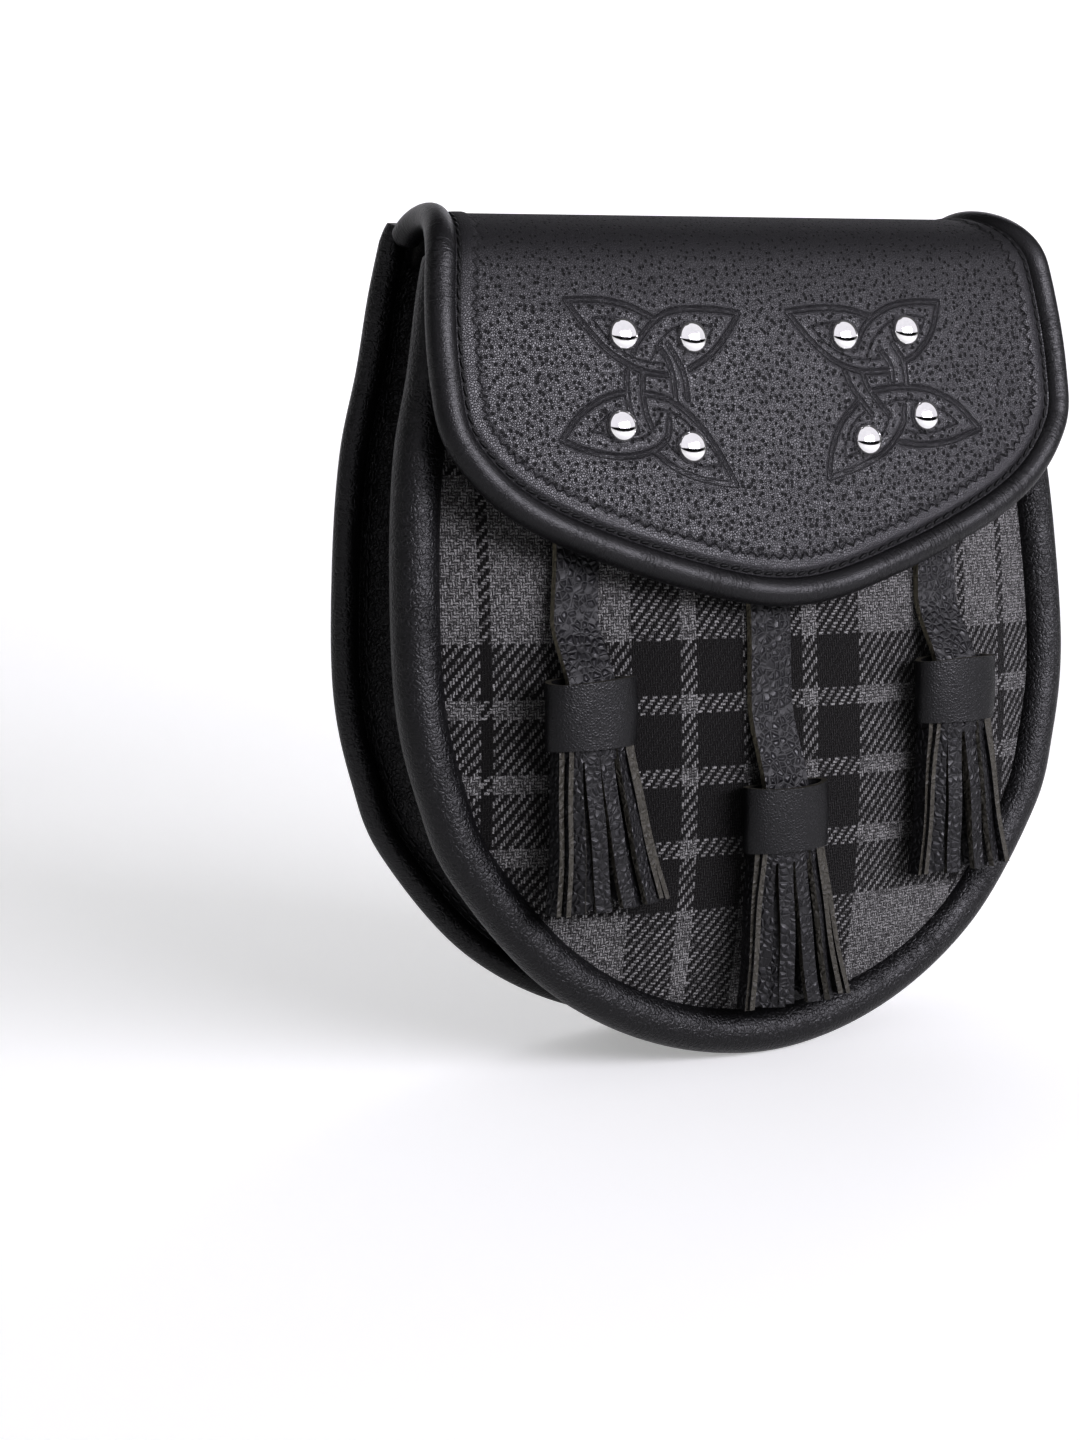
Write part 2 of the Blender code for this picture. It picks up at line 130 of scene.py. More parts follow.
class Look:
    """One Principled material and what feeds it. Its textures work in millimetres."""

    def __init__(self, name, roughness=0.5, metallic=0.0, specular=0.5):
        self.material = bpy.data.materials.new(name)
        self.material.use_nodes = True
        self.tree = self.material.node_tree
        self.shader = self.tree.nodes["Principled BSDF"]
        self.shader.inputs["Roughness"].default_value = roughness
        self.shader.inputs["Metallic"].default_value = metallic
        self.shader.inputs["Specular IOR Level"].default_value = specular

    def node(self, kind, settings=None, inputs=None):
        made = self.tree.nodes.new(kind)
        for key, value in (settings or {}).items():
            setattr(made, key, value)
        for key, value in (inputs or {}).items():
            source = value.socket if isinstance(value, Value) else value
            if isinstance(source, bpy.types.NodeSocket):
                self.tree.links.new(source, made.inputs[key])
            else:
                made.inputs[key].default_value = source
        return made

    def feed(self, socket, source):
        source = source.socket if isinstance(source, Value) else source
        self.tree.links.new(source, self.shader.inputs[socket])

    def millimetres(self, of="Object", stretch=(1, 1, 1)):
        """Object coordinates, or those of a named UV map, in millimetres, stretched along the axes."""
        if of == "Object":
            where = self.node("ShaderNodeTexCoord").outputs["Object"]
        else:
            where = self.node("ShaderNodeUVMap", {"uv_map": of}).outputs["UV"]
        scaled = self.node("ShaderNodeVectorMath", {"operation": "MULTIPLY"},
                           {0: where, 1: [1000 * part for part in stretch]})
        return scaled.outputs[0]

    def axis(self, vector, name):
        return Value(self, self.node("ShaderNodeSeparateXYZ", None, {0: vector}).outputs[name])

    def attribute(self, name):
        return Value(self, self.node("ShaderNodeAttribute", {"attribute_name": name}).outputs["Fac"])

    def noise(self, vector, size, detail=2.0):
        """Cloudy noise with features of about this size."""
        inputs = {"Vector": vector, "Scale": 1 / size, "Detail": detail}
        return Value(self, self.node("ShaderNodeTexNoise", None, inputs).outputs["Fac"])

    def cells(self, vector, size, feature="F1", randomness=1.0, across="3D"):
        """Distances in a pattern of cells of this size, in cells."""
        made = self.node("ShaderNodeTexVoronoi", {"feature": feature, "voronoi_dimensions": across},
                         {"Vector": vector, "Scale": 1 / size, "Randomness": randomness})
        return Value(self, made.outputs["Distance"])

    def warped(self, vector, size, reach):
        """A vector pushed about by noise of this size, by up to about half of reach."""
        swirl = self.node("ShaderNodeTexNoise", None, {"Vector": vector, "Scale": 1 / size})
        return self.node("ShaderNodeVectorMath", {"operation": "MULTIPLY_ADD"},
                         {0: swirl.outputs["Color"], 1: (reach,) * 3, 2: vector}).outputs[0]

    def blend(self, share, first, second):
        """A colour between two others."""
        made = self.node("ShaderNodeMix", {"data_type": "RGBA"}, {"Factor": share})
        for index, colour in ((6, first), (7, second)):
            if isinstance(colour, bpy.types.NodeSocket):
                self.tree.links.new(colour, made.inputs[index])
            else:
                made.inputs[index].default_value = (*colour, 1)
        return made.outputs[2]

    def relief(self, height):
        """Bump the surface by a height in millimetres."""
        bump = self.node("ShaderNodeBump", None, {"Strength": 1.0, "Distance": MM, "Height": height})
        self.feed("Normal", bump.outputs["Normal"])


def put(name, mesh, smooth_angle=60):
    """Make an object of a bmesh, shaded smooth but for its sharp edges."""
    data = bpy.data.meshes.new(name)
    mesh.to_mesh(data)
    mesh.free()
    data.shade_smooth()
    data.set_sharp_from_angle(angle=math.radians(smooth_angle))
    piece = bpy.data.objects.new(name, data)
    bpy.context.collection.objects.link(piece)
    return piece


def grid(columns, rows, place):
    """A grid of faces whose corners are moved to place(u, v), both from 0 to 1."""
    mesh = bmesh.new()
    bmesh.ops.create_grid(mesh, x_segments=columns, y_segments=rows, size=0.5)
    spots = np.array([vert.co[:] for vert in mesh.verts])
    for vert, point in zip(mesh.verts, np.column_stack(place(spots[:, 0] + 0.5, spots[:, 1] + 0.5))):
        vert.co = point
    return mesh


def face_out(mesh):
    bmesh.ops.recalc_face_normals(mesh, faces=mesh.faces)
    return mesh


def weld(mesh):
    """Join corners that lie on each other, as along a seam or at a pole."""
    bmesh.ops.remove_doubles(mesh, verts=mesh.verts, dist=0.01 * MM)
    return face_out(mesh)


def thicken(piece, thickness, offset):
    wall = piece.modifiers.new("wall", "SOLIDIFY")
    wall.thickness = thickness
    wall.offset = offset


# The studio: a pale sheet that curves up behind the pouch, a dim white world, a strong softbox
# that the flap mirrors to the camera, and a weak one behind.
FLOOR_Z = cad_box[0][2] - 0.4 * MM
FLOOR_FLAT = 3.0
FLOOR_CURVE = 0.8  # radius of the curve between the floor and the wall


def studio_sheet(u, v):
    """Floor running back and curving up into a wall."""
    run = 4.8 * (1 - v)
    turn = np.clip((run - FLOOR_FLAT) / FLOOR_CURVE, 0, math.pi / 2)
    wall = np.maximum(run - FLOOR_FLAT - FLOOR_CURVE * math.pi / 2, 0)
    away = np.minimum(run, FLOOR_FLAT) + FLOOR_CURVE * np.sin(turn) - 2.6
    return 6 * u - 3, away, FLOOR_Z + FLOOR_CURVE * (1 - np.cos(turn)) + wall


def studio_look(name, patch, greys, roughness=0.9, specular=0.5, glow=(1, 1, 1), strength=0.0):
    """A matt surface with faint patches of two greys, which may glow."""
    look = Look(name, roughness, 0.0, specular)
    dark, pale = ((grey,) * 3 for grey in greys)
    look.feed("Base Color", look.blend(look.noise(look.millimetres(), patch), dark, pale))
    look.shader.inputs["Emission Color"].default_value = (*glow, 1)
    look.shader.inputs["Emission Strength"].default_value = strength
    return look.material


floor = put("floor", grid(4, 48, studio_sheet))
floor.data.materials.append(studio_look("paper", 300.0, (0.86, 0.90), strength=0.28))

world = bpy.data.worlds.new("studio")
world.use_nodes = True
world.node_tree.nodes["Background"].inputs["Color"].default_value = (1, 1, 1, 1)
world.node_tree.nodes["Background"].inputs["Strength"].default_value = 0.12
bpy.context.scene.world = world
POUCH_MIDDLE = (0, 0, -0.05)


def softbox(name, place, high, power):
    """A softbox that looks at the pouch's middle."""
    lamp = bpy.data.lights.new(name, "AREA")
    lamp.color = (1.0, 0.98, 1.06)
    lamp.shape = "RECTANGLE"
    lamp.size = 1.2
    lamp.size_y = high
    lamp.energy = power
    holder = bpy.data.objects.new(name, lamp)
    holder.location = place
    view = Vector(POUCH_MIDDLE) - Vector(place)
    holder.rotation_euler = view.to_track_quat("-Z", "Y").to_euler()
    bpy.context.collection.objects.link(holder)


softbox("back_light", (0.9, 1.2, 0.9), 0.8, 4)
softbox("front_light", (0.42, -1.34, 0.32), 0.6, 23)

# Out of the camera's sight, a white tent over the front shows in the studs and a dark card along
# the floor gives them their dark horizon.
TENT_RADIUS = 1.9


def tent_place(u, v):
    """Part of a sphere about the pouch, from its left side round the front to its right."""
    around = np.radians(-170 + 160 * u)
    up = np.radians(5 + 75 * v)
    reach = TENT_RADIUS * np.cos(up)
    return reach * np.cos(around), reach * np.sin(around), TENT_RADIUS * np.sin(up) + POUCH_MIDDLE[2]


tent = put("white_tent", grid(40, 16, tent_place))
tent_cloth = studio_look("tent_cloth", 90.0, (0.18, 0.22), glow=(1.0, 0.98, 1.04), strength=0.58)
tent.data.materials.append(tent_cloth)
tent.visible_diffuse = False
card = put("dark_card", grid(8, 2, lambda u, v: (5 * u - 2.5, 0 * u - 1.0, FLOOR_Z + 0.26 * v)))
card.data.materials.append(studio_look("felt", 40.0, (0.004, 0.01), roughness=0.95, specular=0.0))
for unseen in (tent, card):
    unseen.visible_camera = False

# The back of the pouch: a flat panel of pebbled black leather. Its outline is the pouch's own, a
# U that all the pipings, the side band and the tartan follow, each inset by its own distance.
POUCH_WIDTH = 206 * MM
POUCH_HEIGHT = 219 * MM
RIDGE_Z = cad_box[0][2] + POUCH_HEIGHT
POUCH_ROWS = (  # (down, half width), as shares of the height and of the widest half
    (0.020, 0.836), (0.100, 0.880), (0.183, 0.916), (0.280, 0.967), (0.410, 0.995),
    (0.553, 1.000), (0.660, 0.957), (0.753, 0.879), (0.885, 0.648), (0.969, 0.343),
)


def smooth_line(points, steps=24):
    """A Catmull-Rom curve through the points."""
    given = np.array(points, float)
    ends = np.vstack([2 * given[0] - given[1], given, 2 * given[-1] - given[-2]])
    share = np.linspace(0, 1, steps, endpoint=False)[:, None]
    runs = [0.5 * (2 * b + (c - a) * share + (2 * a - 5 * b + 4 * c - d) * share**2
                   + (3 * b - a - 3 * c + d) * share**3)
            for a, b, c, d in zip(ends, ends[1:], ends[2:], ends[3:])]
    return np.vstack(runs + [given[-1:]])


def run_of(line):
    """Distance along a line at each of its points."""
    return np.concatenate([[0], np.cumsum(np.linalg.norm(np.diff(line, axis=0), axis=1))])


def along(line, share):
    """Points at these shares of a line's length."""
    run = run_of(line)
    return np.column_stack([np.interp(share * run[-1], run, column) for column in line.T])


def inset_line(line, inset):
    """Move a U outline, which runs from its right top to its left top, inwards."""
    way = np.gradient(line, axis=0)
    way /= np.linalg.norm(way, axis=1)[:, None]
    return line - inset * np.column_stack([way[:, 1], -way[:, 0]])


def u_line(rows, half_width, length, inset, top):
    """(across, down) points of a U from rows of shares, inset and cut off at the top."""
    right = [(half_width * wide, length * down) for down, wide in rows]
    left = [(-x, down) for x, down in right[::-1]]
    line = inset_line(smooth_line([*right, (0, length), *left]), inset)
    kept = np.flatnonzero(line[:, 1] >= top)
    line = line[kept[0] - 1:kept[-1] + 2]
    for end, near in ((0, 1), (-1, -2)):
        share = (top - line[near, 1]) / (line[end, 1] - line[near, 1])
        line[end] = line[near] + share * (line[end] - line[near])
    return line


def pouch_line(inset, top):
    return u_line(POUCH_ROWS, POUCH_WIDTH / 2, POUCH_HEIGHT, inset, top)


def inside(edge, corner):
    """A function from (u, v) to (across, down) inside a U, each side taking a share of its run."""
    shares = np.linspace(0, 1, 200)
    right = along(edge, shares * corner)
    bottom = along(edge, 1 - corner - shares * (1 - 2 * corner))
    left = along(edge, 1 - shares * corner)

    def place(u, v):
        """u runs to the right and v up."""
        v = 1 - v
        spot = []
        for k in (0, 1):
            low = np.interp(u, shares, bottom[:, k])
            near, far = (np.interp(v, shares, side[:, k]) for side in (left, right))
            corners = (1 - u) * left[-1, k] + u * right[-1, k]
            spot.append(v * low + (1 - u) * near + u * far - v * corners)
        return spot
    return place


def leather(name, colour, roughness, grain, depth):
    """Leather with a pebbled grain of this size and depth, in mm, finer pores and soft clouds."""
    look = Look(name, specular=0.4)
    spots = look.millimetres()
    clouds = look.noise(spots, 24.0, 3)
    drawn = look.noise(spots, grain * 2.5)
    bent = look.warped(spots, grain * 1.4, grain * 1.2)
    pebble = look.cells(bent, grain, "DISTANCE_TO_EDGE").ramp(0.0, 0.28)
    pores = look.noise(spots, grain * 0.22, 3)
    look.relief(pebble * (drawn * 1.2 + 0.4) * depth + pores * (depth * 0.4))
    # The colour is darker in the creases between pebbles and where the pores dip: painted shade.
    dark = [part * 0.45 for part in colour]
    tone = look.blend(pebble * 0.75 + pores * 0.25, dark, colour)
    look.feed("Base Color", look.blend(clouds.ramp(0.52, 0.85) * 0.25, tone, (0.05, 0.05, 0.055)))
    look.feed("Roughness", (clouds - 0.5) * 0.14 + (1 - pebble) * 0.12 + roughness)
    return look.material


def dress(piece, material, slot, *replaced):
    """Give a piece its material, its place on the pouch and the solids it stands for."""
    piece.data.materials.append(material)
    if replaced:
        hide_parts(*replaced)
    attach(piece, "root")


back_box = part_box("back_panel")
BACK_WALL = back_box[1][1] - back_box[0][1]
BACK_TOP = RIDGE_Z - back_box[1][2]
POUCH_SIDE = 0.27  # share of the outline's run that is one side, the rest being the bottom
back_places = inside(pouch_line(6.8 * MM, BACK_TOP), POUCH_SIDE)
panel_leather = leather("panel_leather", (0.008, 0.0076, 0.0090), 0.34, 1.4, 0.42)


def back_place(u, v):
    """The panel's outer face, which rounds off at its edge."""
    x, down = back_places(u, v)
    edge = np.minimum(np.minimum(u, 1 - u), np.minimum(v, 1 - v))
    return x, back_box[1][1] - 0.9 * MM * (1 - np.clip(edge / 0.05, 0, 1))**2, RIDGE_Z - down


rear = put("back_panel_leather", face_out(grid(60, 60, back_place)))
thicken(rear, BACK_WALL - 0.4 * MM, -1 if rear.data.polygons[0].normal.y > 0 else 1)
dress(rear, panel_leather, "panel_leather", "back_panel")

# The pipings: rolls of smooth black leather sewn round the back, the front and the flap. The
# front's is the fattest, and all three show fine cross creases.
TOP_DEPTH = 27.6 * MM
BOTTOM_DEPTH = 47.4 * MM
BACK_PIPING = 7 * MM
FRONT_PIPING = 11 * MM
FLAP_PIPING = 8 * MM
FLAP_WALL = 2.5 * MM
FLAP_WIDTH = 193 * MM
FLAP_LENGTH = 111.4 * MM
FLAP_LEAN = math.radians(11.5)
FLAP_STAND = 10.6 * MM
RIDGE_SINK = 3.5 * MM
RIDGE_DROP = 16 * MM
TAIL_DROP = 30 * MM
FLAP_ROWS = (  # the same for the flap, from behind the ridge down
    (-0.480, 0.895), (-0.200, 0.900), (0.000, 0.905), (0.215, 0.977), (0.467, 1.000),
    (0.636, 0.961), (0.798, 0.764), (0.940, 0.353),
)


def front_y(down):
    """Depth of the front piping's middle at a distance below the ridge."""
    return -(TOP_DEPTH + (BOTTOM_DEPTH - TOP_DEPTH) * down / POUCH_HEIGHT)


def flap_profile():
    """Side view of the flap's leather from its tail over the ridge to its tip, as (y, down)."""
    lean = np.array([-math.sin(FLAP_LEAN), math.cos(FLAP_LEAN)])
    rear_foot = np.array([-(BACK_WALL + 0.3 * MM + FLAP_WALL / 2), RIDGE_DROP])
    foot = np.array([-TOP_DEPTH - FLAP_STAND - RIDGE_DROP * math.tan(FLAP_LEAN), RIDGE_DROP])
    handle = (RIDGE_DROP - RIDGE_SINK) / 0.75  # the bend rises three quarters of its handles
    t = np.linspace(0, 1, 97)[:, None]
    bend = ((1 - t)**3 * rear_foot + 3 * t * (1 - t)**2 * (rear_foot - (0, handle))
            + 3 * t**2 * (1 - t) * (foot - handle * lean) + t**3 * foot)
    line = np.vstack([[(rear_foot[0], TAIL_DROP)], bend, [foot + FLAP_LENGTH * lean]])
    run = run_of(line)
    return line, run - run[np.argmin(line[:, 1])]


profile, profile_run = flap_profile()
crest = int(np.argmin(profile[:, 1]))


def flap_place(x, run, proud=0.0):
    """Places on the flap: across, along the leather from the ridge, and proud of its middle."""
    here, near, far = (
        np.column_stack([np.interp(run + step, profile_run, column) for column in profile.T])
        for step in (0, -0.5 * MM, 0.5 * MM)
    )
    slope = (far - near) / np.linalg.norm(far - near, axis=1)[:, None]
    return x, here[:, 0] - proud * slope[:, 1], RIDGE_Z - here[:, 1] - proud * slope[:, 0]


def flap_run(down):
    """Run along the flap's leather to a distance below the ridge, on its front."""
    return np.interp(down, profile[crest:, 1], profile_run[crest:])


def map_corners(mesh, name, place):
    """A UV map of a mesh whose values are place(vert) at each face's corners."""
    layer = mesh.loops.layers.uv.new(name)
    for face in mesh.faces:
        for loop in face.loops:
            loop[layer].uv = place(loop.vert)


ROLL_ROWS = 360
ROLL_AROUND = 28


def roll(name, line, width):
    """A closed roll of leather along a line of points, with its run and turn as UVs."""
    middle = along(np.array(line, float), np.linspace(0, 1, ROLL_ROWS + 1))
    way = np.gradient(middle, axis=0)
    way /= np.linalg.norm(way, axis=1)[:, None]
    outward = middle - middle.mean(axis=0)
    side = np.cross(way, outward)
    side /= np.linalg.norm(side, axis=1)[:, None]
    out = np.cross(side, way)
    length = run_of(middle)[-1]

    def place(u, v):
        row = np.rint(v * ROLL_ROWS).astype(int)
        turn = 2 * math.pi * u
        close = np.clip(np.minimum(v, 1 - v) * length / (width * 0.3), 0, 1)  # rounds its ends
        radius = width / 2 * np.sqrt(1 - (1 - close)**2)
        spoke = np.cos(turn)[:, None] * out[row] + np.sin(turn)[:, None] * side[row]
        return (middle[row] + radius[:, None] * spoke).T

    def unrolled(vert):
        row, column = divmod(vert.index, ROLL_AROUND + 1)
        return row / ROLL_ROWS * length, column / ROLL_AROUND * math.pi * width

    mesh = grid(ROLL_AROUND, ROLL_ROWS, place)
    map_corners(mesh, "roll", unrolled)
    return put(name, weld(mesh))


def piping_look(name, pebbling):
    """Smooth calf leather: faint pores, cross creases, some pebbling and a soft sheen."""
    look = Look(name)
    spots = look.millimetres()
    creased = look.noise(look.millimetres("roll", (1.3, 0.28, 1)), 1.4, 4)
    where = look.noise(spots, 16.0)
    creases = creased.ramp(0.42, 0.62) * where.ramp(0.35, 0.7)
    pores = look.cells(spots, 0.55, "DISTANCE_TO_EDGE").ramp(0.0, 0.3)
    pebble = look.cells(look.warped(spots, 2.2, 1.6), 1.3, "DISTANCE_TO_EDGE").ramp(0.0, 0.3)
    dents = creases * 0.16 + pores * 0.03
    look.relief(dents + look.noise(spots, 6.0) * 0.15 + pebble * (where * pebbling))
    # Darker along the pore lines and lighter where the crease noise runs high, as the relief rises there.
    pore_crease_tone = pores * 0.6 + creased * 0.4
    look.feed("Base Color", look.blend(pore_crease_tone, (0.0035, 0.0033, 0.0040), (0.0080, 0.0076, 0.0092)))
    look.feed("Roughness", (1 - pores) * 0.06 + where * 0.08 + 0.33)
    return look.material


piping_leather = piping_look("piping_leather", 0.22)
back_y = back_box[1][1] + 1 * MM - BACK_PIPING / 2
end_x = POUCH_WIDTH * 0.413 - BACK_PIPING / 2  # the back roll runs on up to the ridge
right_end, left_end = ((side * end_x, back_y - 1 * MM, RIDGE_Z - 4 * MM) for side in (1, -1))
back_line = [(x, back_y, RIDGE_Z - down) for x, down in pouch_line(BACK_PIPING / 2, BACK_TOP)]
back_roll = [right_end, *back_line, left_end]
dress(roll("back_roll", back_roll, BACK_PIPING), piping_leather, "piping_leather", "back_piping")
front_top = RIDGE_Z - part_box("front_piping")[1][2]
front_plump = FRONT_PIPING + 1.2 * MM
front_line = pouch_line(front_plump / 2, front_top)
front_roll = [(x, front_y(down), RIDGE_Z - down) for x, down in front_line]
dress(roll("front_roll", front_roll, front_plump), piping_leather, "piping_leather", "front_piping")


def flap_line(inset, start):
    return u_line(FLAP_ROWS, FLAP_WIDTH / 2, FLAP_LENGTH, inset, start)


flap_plump = FLAP_PIPING - 0.6 * MM
behind = np.interp(BACK_TOP, profile[crest::-1, 1], profile_run[crest::-1])
flap_spine = flap_line(flap_plump / 2, behind)
flap_roll = roll("flap_roll", np.column_stack(flap_place(flap_spine[:, 0], flap_spine[:, 1])), flap_plump)
dress(flap_roll, piping_look("smooth_piping_leather", 0.04), "piping_leather", "flap_piping")

# The side band: pebbled leather drawn inwards between the two pipings, with soft folds across
# it, and a row of black stitches beside the back piping.
GUSSET_SAG = 4 * MM
GUSSET_WALL = 2 * MM
SEAM_CLEAR = 0.9 * MM
gusset_top = RIDGE_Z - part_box("gusset")[1][2]
band_back = pouch_line(BACK_PIPING + 0.3 * MM, gusset_top)
band_front = pouch_line(FRONT_PIPING + 0.3 * MM, gusset_top)
band_shares = np.linspace(0, 1, 400)
band_edge = along(band_back, band_shares)
band_inward = inset_line(band_edge, 1) - band_edge


def band_place(u, v, proud=0.0):
    """u runs along the band and v from the back piping to the front one."""
    back, front = along(band_back, u), along(band_front, u)
    way = np.column_stack([np.interp(u, band_shares, column) for column in band_inward.T])
    fold = 0.5 * MM * np.sin(u * 150 + 2.5 * np.sin(u * 41)) * np.sin(math.pi * v)**2
    deep = GUSSET_SAG * np.sin(math.pi * v)**3 + fold - proud
    x, down = (back * (1 - v)[:, None] + front * v[:, None] + way * deep[:, None]).T
    near, far = -BACK_WALL - SEAM_CLEAR, front_y(front[:, 1]) + 1.5 * MM + SEAM_CLEAR
    return x, near + (far - near) * v, RIDGE_Z - down


side_band = put("side_band", face_out(grid(420, 26, band_place)))
first = side_band.data.polygons[0]
thicken(side_band, GUSSET_WALL, -1 if first.normal.x * first.center.x > 0 else 1)
dress(side_band, panel_leather, "panel_leather", "gusset")


def thread_look():
    """Waxed black thread, ribbed by its twist."""
    look = Look("black_thread", specular=0.3)
    spots = look.millimetres()
    twist = look.noise(spots, 0.35, 2)
    look.feed("Base Color", look.blend(twist, (0.003, 0.003, 0.003), (0.013, 0.013, 0.014)))
    look.feed("Roughness", twist * 0.2 + 0.42)
    look.relief(twist * 0.12)
    return look.material


thread = thread_look()


def stitches(name, line, outward, pitch, length, thick, slot):
    """A row of short plump stitches along a line, a little aslant: outward(shares) is their up."""
    mesh = bmesh.new()
    count = int(run_of(line)[-1] / pitch)
    shares = (np.arange(count) + 0.5) / count
    near, far = np.maximum(shares - 0.3 / count, 0), np.minimum(shares + 0.3 / count, 1)
    slant = Matrix.Rotation(math.radians(14), 4, "Z")
    lying = Matrix.Rotation(-math.pi / 2, 4, "Y")
    shape = slant @ lying @ Matrix.Diagonal((thick / 2, thick / 2, length / 2, 1))
    for spot, way, up in zip(along(line, shares), along(line, far) - along(line, near), outward(shares)):
        ahead = Vector(way).normalized()
        aside = Vector(up).normalized().cross(ahead).normalized()
        turn = Matrix((ahead, aside, ahead.cross(aside))).transposed().to_4x4()
        bmesh.ops.create_uvsphere(mesh, u_segments=6, v_segments=6, radius=1,
                                  matrix=Matrix.Translation(spot) @ turn @ shape)
    dress(put(name, mesh), thread, slot)


seam = np.column_stack(band_place(np.linspace(0.02, 0.98, 600), np.full(600, 0.10), 0.25 * MM))


def from_middle(shares):
    """Outwards from the middle of the pouch."""
    return along(seam, shares) * (1, 0, 1) - (0, 0, RIDGE_Z - 0.5 * POUCH_HEIGHT)


stitches("side_seam", seam, from_middle, 4.0 * MM, 3.0 * MM, 0.9 * MM, "panel_leather")

# The front: grey and black tartan, a two-and-two twill, stretched over a padded board inside the
# front piping. Black blocks crossed by pale lines alternate with grey bands that carry a thin
# black line.
FRONT_TOP = RIDGE_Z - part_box("front_panel")[1][2]
FRONT_WALL = 3 * MM
FRONT_BULGE = 12 * MM
WARP_YARN = 0.68  # mm, as are the sett and its stripes
WEFT_YARN = 0.80
SETT = 160.0
CLOTH_TURN = math.radians(2.0)
TURN_X, TURN_Z = -40 * MM, -115 * MM  # the place that the yarns are turned about
half_widths = [(POUCH_HEIGHT * down, POUCH_WIDTH / 2 * wide) for down, wide in POUCH_ROWS]
half_widths = smooth_line([*half_widths, (POUCH_HEIGHT, 0)])


def front_face(x, down):
    """Depth of the tartan's face, which bulges inside the piping."""
    half = np.interp(down, half_widths[:, 0], half_widths[:, 1])
    half = np.maximum(half, FRONT_PIPING + MM) - FRONT_PIPING
    across = np.minimum(np.abs(x) / half, 1)
    low = np.clip((down - FRONT_TOP) / (POUCH_HEIGHT - FRONT_PIPING - FRONT_TOP), 0, 1)
    rise = (1 - across**2.6) * (1 - np.abs(2 * low - 1)**2.6)
    return front_y(down) - FRONT_WALL / 2 - FRONT_BULGE * rise


front_places = inside(pouch_line(FRONT_PIPING - 0.9 * MM, FRONT_TOP), POUCH_SIDE)


def front_place(u, v):
    x, down = front_places(u, v)
    return x, front_face(x, down), RIDGE_Z - down


def on_cloth(vert):
    x, y, z = vert.co
    cosine, sine = math.cos(CLOTH_TURN), math.sin(CLOTH_TURN)
    return x * cosine - (z - TURN_Z) * sine, z * cosine + (x - TURN_X) * sine


cloth_mesh = grid(150, 150, front_place)
map_corners(cloth_mesh, "cloth", on_cloth)
tartan = put("tartan_front", face_out(cloth_mesh))
thicken(tartan, FRONT_WALL - 0.2 * MM, -1 if tartan.data.polygons[0].normal.y < 0 else 1)


def tartan_look():
    """Twill of grey, black and pale wool yarns, striped alike both ways."""
    look = Look("tartan_cloth", roughness=0.88, specular=0.25)
    cloth = look.warped(look.millimetres("cloth"), 0.9, 0.45)
    drift = look.noise(look.millimetres(), 5.0) * 0.5 - 0.25
    across = look.axis(cloth, "X") / WARP_YARN + drift
    down = look.axis(cloth, "Y") / WEFT_YARN + drift
    warp, weft = across.floor(), down.floor()

    def stripes(place, middle, black_line):
        """How pale a yarn is: black block, its three pale lines, grey band, its black line.

        Each is placed by how far it is from the middle of the block, in mm.
        """
        far = (place - middle + SETT / 2).wrap(SETT).away(SETT / 2)
        grey = far.ramp(34.4, 34.7, 0.0, 0.42)
        pale = far.away(18.4).below(2.2).most(far.below(2.2))
        line = far.away(black_line).below(1.4)
        return (grey * (1 - line)).most(pale * 0.46)

    over = (warp - weft).wrap(4.0).below(1.5)
    tone = (stripes(warp * WARP_YARN, -11.0, 71.8) * over
            + stripes(weft * WEFT_YARN, -97.2, 76.3) * (1 - over))
    rib_x = (across.wrap(1.0) * math.pi).wave()
    rib_y = (down.wrap(1.0) * math.pi).wave()
    rib = rib_x * over + rib_y * (1 - over)
    twist_x = look.noise(look.millimetres("cloth", (1.6, 0.7, 1)), 0.42, 3)
    twist_y = look.noise(look.millimetres("cloth", (0.7, 1.6, 1)), 0.42, 3)
    fibre = (twist_x * over + twist_y * (1 - over)).ramp(0.32, 0.68)
    crossing = look.node("ShaderNodeCombineXYZ", None, {0: warp, 1: weft}).outputs[0]
    lot = look.node("ShaderNodeTexWhiteNoise", {"noise_dimensions": "2D"}, {"Vector": crossing})
    lot = Value(look, lot.outputs["Value"])
    # shade mixes each yarn's own fleck and lot with painted shade in the gaps between yarns, from the
    # rib.
    shade = (fibre * 2.3 + 0.1) * (rib.ramp(0.15, 1.0) * 1.1 + 0.15) * (lot * 1.3 + 0.35)
    tone = (tone * shade).least(1.0)
    look.feed("Base Color", look.blend(tone, (0.007, 0.0060, 0.0062), (0.285, 0.281, 0.280)))
    look.relief(rib * 0.20 + fibre * 0.12)
    look.shader.inputs["Sheen Weight"].default_value = 0.15
    look.shader.inputs["Sheen Roughness"].default_value = 0.5
    return look.material


dress(tartan, tartan_look(), "tartan_cloth", "front_panel")

